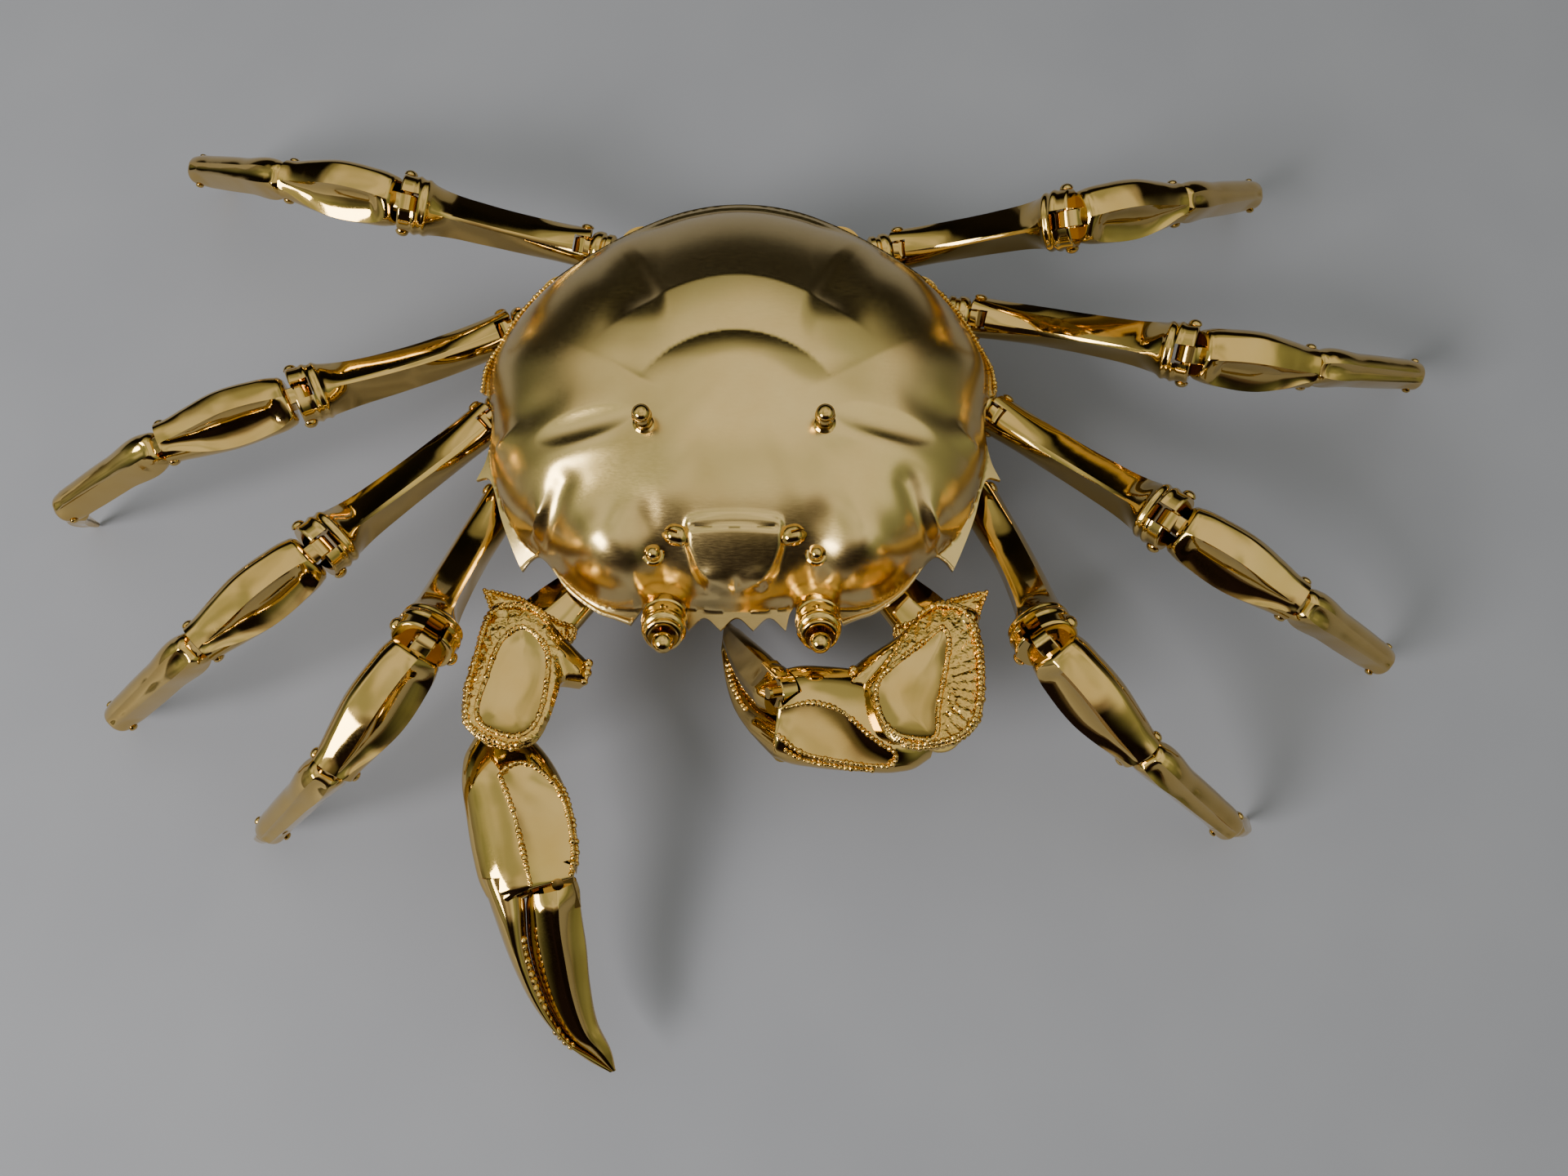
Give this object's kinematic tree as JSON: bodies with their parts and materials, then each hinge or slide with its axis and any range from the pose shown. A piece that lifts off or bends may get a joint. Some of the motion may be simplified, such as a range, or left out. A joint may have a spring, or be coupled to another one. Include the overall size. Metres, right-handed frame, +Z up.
{
  "type": "crab figurine",
  "caption": "Jointed crab figurine in gold-plated brass with a domed shell, hinged walking legs and two claws with moving fingers.",
  "frame": {"origin": "on the surface that the crab stands on, under the middle of its bounding box", "axes": "+X to the crab's left-right span as the picture shows it, right claw side positive; -Y towards the claws; +Z up"},
  "size_m": [0.4408, 0.2896, 0.0855],
  "materials": {
    "shell_brass": "gold plated, satin polished",
    "belly_brass": "gold plated, polished",
    "leg_brass": "gold plated, mirror polished",
    "claw_brass": "gold plated, mirror polished",
    "stud_brass": "gold plated, mirror polished",
    "pin_brass": "polished"
  },
  "bodies": {
    "body": {"carapace": "shell_brass", "plastron": "belly_brass", "hip_pins": "pin_brass", "abdomen_flap": "belly_brass", "eye_stalks": "stud_brass", "eyeballs": "stud_brass", "carapace_studs": "stud_brass"},
    "left_rear_leg_coxa": {"left_rear_leg_coxa": "leg_brass"},
    "left_rear_leg_merus": {"left_rear_leg_merus": "leg_brass"},
    "left_rear_leg_carpus": {"left_rear_leg_carpus": "leg_brass"},
    "left_rear_leg_propodus": {"left_rear_leg_propodus": "leg_brass"},
    "left_rear_leg_dactyl": {"left_rear_leg_dactyl": "leg_brass"},
    "left_third_leg_coxa": {"left_third_leg_coxa": "leg_brass"},
    "left_third_leg_merus": {"left_third_leg_merus": "leg_brass"},
    "left_third_leg_carpus": {"left_third_leg_carpus": "leg_brass"},
    "left_third_leg_propodus": {"left_third_leg_propodus": "leg_brass"},
    "left_third_leg_dactyl": {"left_third_leg_dactyl": "leg_brass"},
    "left_second_leg_coxa": {"left_second_leg_coxa": "leg_brass"},
    "left_second_leg_merus": {"left_second_leg_merus": "leg_brass"},
    "left_second_leg_carpus": {"left_second_leg_carpus": "leg_brass"},
    "left_second_leg_propodus": {"left_second_leg_propodus": "leg_brass"},
    "left_second_leg_dactyl": {"left_second_leg_dactyl": "leg_brass"},
    "left_front_leg_coxa": {"left_front_leg_coxa": "leg_brass"},
    "left_front_leg_merus": {"left_front_leg_merus": "leg_brass"},
    "left_front_leg_carpus": {"left_front_leg_carpus": "leg_brass"},
    "left_front_leg_propodus": {"left_front_leg_propodus": "leg_brass"},
    "left_front_leg_dactyl": {"left_front_leg_dactyl": "leg_brass"},
    "left_claw_coxa": {"left_claw_coxa": "claw_brass"},
    "left_claw_merus": {"left_claw_merus": "claw_brass"},
    "left_claw_carpus": {"left_claw_carpus": "claw_brass"},
    "left_claw_palm": {"left_claw_palm": "claw_brass"},
    "left_claw_finger": {"left_claw_finger": "claw_brass"},
    "right_rear_leg_coxa": {"right_rear_leg_coxa": "leg_brass"},
    "right_rear_leg_merus": {"right_rear_leg_merus": "leg_brass"},
    "right_rear_leg_carpus": {"right_rear_leg_carpus": "leg_brass"},
    "right_rear_leg_propodus": {"right_rear_leg_propodus": "leg_brass"},
    "right_rear_leg_dactyl": {"right_rear_leg_dactyl": "leg_brass"},
    "right_third_leg_coxa": {"right_third_leg_coxa": "leg_brass"},
    "right_third_leg_merus": {"right_third_leg_merus": "leg_brass"},
    "right_third_leg_carpus": {"right_third_leg_carpus": "leg_brass"},
    "right_third_leg_propodus": {"right_third_leg_propodus": "leg_brass"},
    "right_third_leg_dactyl": {"right_third_leg_dactyl": "leg_brass"},
    "right_second_leg_coxa": {"right_second_leg_coxa": "leg_brass"},
    "right_second_leg_merus": {"right_second_leg_merus": "leg_brass"},
    "right_second_leg_carpus": {"right_second_leg_carpus": "leg_brass"},
    "right_second_leg_propodus": {"right_second_leg_propodus": "leg_brass"},
    "right_second_leg_dactyl": {"right_second_leg_dactyl": "leg_brass"},
    "right_front_leg_coxa": {"right_front_leg_coxa": "leg_brass"},
    "right_front_leg_merus": {"right_front_leg_merus": "leg_brass"},
    "right_front_leg_carpus": {"right_front_leg_carpus": "leg_brass"},
    "right_front_leg_propodus": {"right_front_leg_propodus": "leg_brass"},
    "right_front_leg_dactyl": {"right_front_leg_dactyl": "leg_brass"},
    "right_claw_coxa": {"right_claw_coxa": "claw_brass"},
    "right_claw_merus": {"right_claw_merus": "claw_brass"},
    "right_claw_carpus": {"right_claw_carpus": "claw_brass"},
    "right_claw_palm": {"right_claw_palm": "claw_brass"},
    "right_claw_finger": {"right_claw_finger": "claw_brass"}
  },
  "joints": [
    {"name": "left_rear_leg_swing", "type": "hinge", "parent": "body", "child": "left_rear_leg_coxa", "pos_m": [-0.03471, 0.09383, 0.038], "axis": [0, 0, -1], "range_deg": [-8, 8]},
    {"name": "left_rear_leg_lift", "type": "hinge", "parent": "left_rear_leg_coxa", "child": "left_rear_leg_merus", "pos_m": [-0.0542, 0.09833, 0.038], "axis": [0.21, 0.9097, 0.3584], "range_deg": [-8, 8]},
    {"name": "left_rear_leg_knee", "type": "hinge", "parent": "left_rear_leg_merus", "child": "left_rear_leg_carpus", "pos_m": [-0.10684, 0.10473, 0.05258], "axis": [0.21, 0.9097, 0.3584], "range_deg": [-10, 10]},
    {"name": "left_rear_leg_ankle", "type": "hinge", "parent": "left_rear_leg_carpus", "child": "left_rear_leg_propodus", "pos_m": [-0.14479, 0.11501, 0.04873], "axis": [0.21, 0.9097, 0.3584], "range_deg": [-12, 15]},
    {"name": "left_rear_leg_tip", "type": "hinge", "parent": "left_rear_leg_propodus", "child": "left_rear_leg_dactyl", "pos_m": [-0.18481, 0.1322, 0.02855], "axis": [0.21, 0.9097, 0.3584], "range_deg": [-12, 20]},
    {"name": "left_third_leg_swing", "type": "hinge", "parent": "body", "child": "left_third_leg_coxa", "pos_m": [-0.05851, 0.07683, 0.038], "axis": [0, 0, -1], "range_deg": [-3, 8]},
    {"name": "left_third_leg_lift", "type": "hinge", "parent": "left_third_leg_coxa", "child": "left_third_leg_merus", "pos_m": [-0.07691, 0.06901, 0.038], "axis": [-0.3822, 0.9004, 0.2079], "range_deg": [-8, 8]},
    {"name": "left_third_leg_knee", "type": "hinge", "parent": "left_third_leg_merus", "child": "left_third_leg_carpus", "pos_m": [-0.13434, 0.04198, 0.0495], "axis": [-0.3822, 0.9004, 0.2079], "range_deg": [-10, 10]},
    {"name": "left_third_leg_ankle", "type": "hinge", "parent": "left_third_leg_carpus", "child": "left_third_leg_propodus", "pos_m": [-0.17028, 0.02595, 0.05287], "axis": [-0.3822, 0.9004, 0.2079], "range_deg": [-12, 15]},
    {"name": "left_third_leg_tip", "type": "hinge", "parent": "left_third_leg_propodus", "child": "left_third_leg_dactyl", "pos_m": [-0.2107, 0.01411, 0.02983], "axis": [-0.3822, 0.9004, 0.2079], "range_deg": [-12, 20]},
    {"name": "left_second_leg_swing", "type": "hinge", "parent": "body", "child": "left_second_leg_coxa", "pos_m": [-0.06649, 0.05208, 0.038], "axis": [0, 0, -1], "range_deg": [-2, 8]},
    {"name": "left_second_leg_lift", "type": "hinge", "parent": "left_second_leg_coxa", "child": "left_second_leg_merus", "pos_m": [-0.08135, 0.03869, 0.038], "axis": [-0.6204, 0.689, 0.3746], "range_deg": [-8, 8]},
    {"name": "left_second_leg_knee", "type": "hinge", "parent": "left_second_leg_merus", "child": "left_second_leg_carpus", "pos_m": [-0.12157, -0.00715, 0.0557], "axis": [-0.6204, 0.689, 0.3746], "range_deg": [-10, 10]},
    {"name": "left_second_leg_ankle", "type": "hinge", "parent": "left_second_leg_carpus", "child": "left_second_leg_propodus", "pos_m": [-0.15075, -0.03376, 0.05634], "axis": [-0.6204, 0.689, 0.3746], "range_deg": [-12, 15]},
    {"name": "left_second_leg_tip", "type": "hinge", "parent": "left_second_leg_propodus", "child": "left_second_leg_dactyl", "pos_m": [-0.18605, -0.05034, 0.02837], "axis": [-0.6204, 0.689, 0.3746], "range_deg": [-12, 20]},
    {"name": "left_front_leg_swing", "type": "hinge", "parent": "body", "child": "left_front_leg_coxa", "pos_m": [-0.06509, 0.03113, 0.0355], "axis": [0, 0, -1], "range_deg": [-3, 9]},
    {"name": "left_front_leg_lift", "type": "hinge", "parent": "left_front_leg_coxa", "child": "left_front_leg_merus", "pos_m": [-0.07539, 0.01399, 0.0355], "axis": [-0.7637, 0.4589, 0.454], "range_deg": [-8, 4]},
    {"name": "left_front_leg_knee", "type": "hinge", "parent": "left_front_leg_merus", "child": "left_front_leg_carpus", "pos_m": [-0.0862, -0.03635, 0.06821], "axis": [-0.7637, 0.4589, 0.454], "range_deg": [-10, 10]},
    {"name": "left_front_leg_ankle", "type": "hinge", "parent": "left_front_leg_carpus", "child": "left_front_leg_propodus", "pos_m": [-0.1089, -0.06809, 0.0621], "axis": [-0.7637, 0.4589, 0.454], "range_deg": [-12, 15]},
    {"name": "left_front_leg_tip", "type": "hinge", "parent": "left_front_leg_propodus", "child": "left_front_leg_dactyl", "pos_m": [-0.13848, -0.0829, 0.02731], "axis": [-0.7637, 0.4589, 0.454], "range_deg": [-12, 20]},
    {"name": "left_claw_swing", "type": "hinge", "parent": "body", "child": "left_claw_coxa", "pos_m": [-0.02913, 0.00774, 0.035], "axis": [0, 0, -1], "range_deg": [-6, 3]},
    {"name": "left_claw_lift", "type": "hinge", "parent": "left_claw_coxa", "child": "left_claw_merus", "pos_m": [-0.04328, -0.0064, 0.035], "axis": [-0.7071, 0.7071, 0], "range_deg": [-5, 4]},
    {"name": "left_claw_elbow", "type": "hinge", "parent": "left_claw_merus", "child": "left_claw_carpus", "pos_m": [-0.06638, -0.02951, 0.03959], "axis": [-0.0984, -0.0984, -0.9903], "range_deg": [-10, 8]},
    {"name": "left_claw_wrist", "type": "hinge", "parent": "left_claw_carpus", "child": "left_claw_palm", "pos_m": [-0.07038, -0.05554, 0.04258], "axis": [-0.0984, -0.0984, -0.9903], "range_deg": [-10, 10]},
    {"name": "left_claw_finger", "type": "hinge", "parent": "left_claw_palm", "child": "left_claw_finger", "pos_m": [-0.05306, -0.09707, 0.04028], "axis": [0.21, -0.365, 0.907], "range_deg": [0, 20]},
    {"name": "right_rear_leg_swing", "type": "hinge", "parent": "body", "child": "right_rear_leg_coxa", "pos_m": [0.02651, 0.09383, 0.038], "axis": [0, 0, 1], "range_deg": [-8, 8]},
    {"name": "right_rear_leg_lift", "type": "hinge", "parent": "right_rear_leg_coxa", "child": "right_rear_leg_merus", "pos_m": [0.04621, 0.0973, 0.038], "axis": [0.1547, -0.8775, -0.454], "range_deg": [-8, 8]},
    {"name": "right_rear_leg_knee", "type": "hinge", "parent": "right_rear_leg_merus", "child": "right_rear_leg_carpus", "pos_m": [0.09354, 0.09147, 0.0654], "axis": [0.1547, -0.8775, -0.454], "range_deg": [-10, 10]},
    {"name": "right_rear_leg_ankle", "type": "hinge", "parent": "right_rear_leg_carpus", "child": "right_rear_leg_propodus", "pos_m": [0.12903, 0.10395, 0.05337], "axis": [0.1547, -0.8775, -0.454], "range_deg": [-12, 15]},
    {"name": "right_rear_leg_tip", "type": "hinge", "parent": "right_rear_leg_propodus", "child": "right_rear_leg_dactyl", "pos_m": [0.16421, 0.12364, 0.02731], "axis": [0.1547, -0.8775, -0.454], "range_deg": [-12, 20]},
    {"name": "right_third_leg_swing", "type": "hinge", "parent": "body", "child": "right_third_leg_coxa", "pos_m": [0.05031, 0.07683, 0.038], "axis": [0, 0, 1], "range_deg": [-8, 8]},
    {"name": "right_third_leg_lift", "type": "hinge", "parent": "right_third_leg_coxa", "child": "right_third_leg_merus", "pos_m": [0.07006, 0.0737, 0.038], "axis": [-0.1312, -0.8283, -0.5446], "range_deg": [-8, 8]},
    {"name": "right_third_leg_knee", "type": "hinge", "parent": "right_third_leg_merus", "child": "right_third_leg_carpus", "pos_m": [0.12873, 0.05312, 0.05516], "axis": [-0.1312, -0.8283, -0.5446], "range_deg": [-10, 10]},
    {"name": "right_third_leg_ankle", "type": "hinge", "parent": "right_third_leg_carpus", "child": "right_third_leg_propodus", "pos_m": [0.16716, 0.05304, 0.04603], "axis": [-0.1312, -0.8283, -0.5446], "range_deg": [-12, 15]},
    {"name": "right_third_leg_tip", "type": "hinge", "parent": "right_third_leg_propodus", "child": "right_third_leg_dactyl", "pos_m": [0.21019, 0.05954, 0.02577], "axis": [-0.1312, -0.8283, -0.5446], "range_deg": [-12, 20]},
    {"name": "right_second_leg_swing", "type": "hinge", "parent": "body", "child": "right_second_leg_coxa", "pos_m": [0.05829, 0.05208, 0.038], "axis": [0, 0, 1], "range_deg": [-8, 8]},
    {"name": "right_second_leg_lift", "type": "hinge", "parent": "right_second_leg_coxa", "child": "right_second_leg_merus", "pos_m": [0.07467, 0.0406, 0.038], "axis": [-0.5318, -0.7595, -0.3746], "range_deg": [-8, 8]},
    {"name": "right_second_leg_knee", "type": "hinge", "parent": "right_second_leg_merus", "child": "right_second_leg_carpus", "pos_m": [0.11751, -0.0005, 0.06053], "axis": [-0.5318, -0.7595, -0.3746], "range_deg": [-10, 10]},
    {"name": "right_second_leg_ankle", "type": "hinge", "parent": "right_second_leg_carpus", "child": "right_second_leg_propodus", "pos_m": [0.15048, -0.02202, 0.05734], "axis": [-0.5318, -0.7595, -0.3746], "range_deg": [-12, 15]},
    {"name": "right_second_leg_tip", "type": "hinge", "parent": "right_second_leg_propodus", "child": "right_second_leg_dactyl", "pos_m": [0.18704, -0.03333, 0.02837], "axis": [-0.5318, -0.7595, -0.3746], "range_deg": [-12, 20]},
    {"name": "right_front_leg_swing", "type": "hinge", "parent": "body", "child": "right_front_leg_coxa", "pos_m": [0.05689, 0.03113, 0.0355], "axis": [0, 0, 1], "range_deg": [-3, 9]},
    {"name": "right_front_leg_lift", "type": "hinge", "parent": "right_front_leg_coxa", "child": "right_front_leg_merus", "pos_m": [0.06793, 0.01445, 0.0355], "axis": [-0.7222, -0.478, -0.5], "range_deg": [-8, 4]},
    {"name": "right_front_leg_knee", "type": "hinge", "parent": "right_front_leg_merus", "child": "right_front_leg_carpus", "pos_m": [0.0788, -0.03599, 0.06802], "axis": [-0.7222, -0.478, -0.5], "range_deg": [-10, 10]},
    {"name": "right_front_leg_ankle", "type": "hinge", "parent": "right_front_leg_carpus", "child": "right_front_leg_propodus", "pos_m": [0.10492, -0.06322, 0.05632], "axis": [-0.7222, -0.478, -0.5], "range_deg": [-12, 15]},
    {"name": "right_front_leg_tip", "type": "hinge", "parent": "right_front_leg_propodus", "child": "right_front_leg_dactyl", "pos_m": [0.13775, -0.0817, 0.02658], "axis": [-0.7222, -0.478, -0.5], "range_deg": [-12, 20]},
    {"name": "right_claw_swing", "type": "hinge", "parent": "body", "child": "right_claw_coxa", "pos_m": [0.02093, 0.00774, 0.035], "axis": [0, 0, 1], "range_deg": [-2, 3]},
    {"name": "right_claw_lift", "type": "hinge", "parent": "right_claw_coxa", "child": "right_claw_merus", "pos_m": [0.03457, -0.00689, 0.035], "axis": [-0.7314, -0.682, 0], "range_deg": [-3, 4]},
    {"name": "right_claw_elbow", "type": "hinge", "parent": "right_claw_merus", "child": "right_claw_carpus", "pos_m": [0.05659, -0.03049, 0.04186], "axis": [-0.1418, 0.1521, 0.9781], "range_deg": [-2, 8]},
    {"name": "right_claw_wrist", "type": "hinge", "parent": "right_claw_carpus", "child": "right_claw_palm", "pos_m": [0.0522, -0.05641, 0.04525], "axis": [-0.1418, 0.1521, 0.9781], "range_deg": [-2, 10]},
    {"name": "right_claw_finger", "type": "hinge", "parent": "right_claw_palm", "child": "right_claw_finger", "pos_m": [0.00908, -0.04686, 0.05229], "axis": [0.8648, 0.2157, -0.4533], "range_deg": [0, 8]}
  ]
}
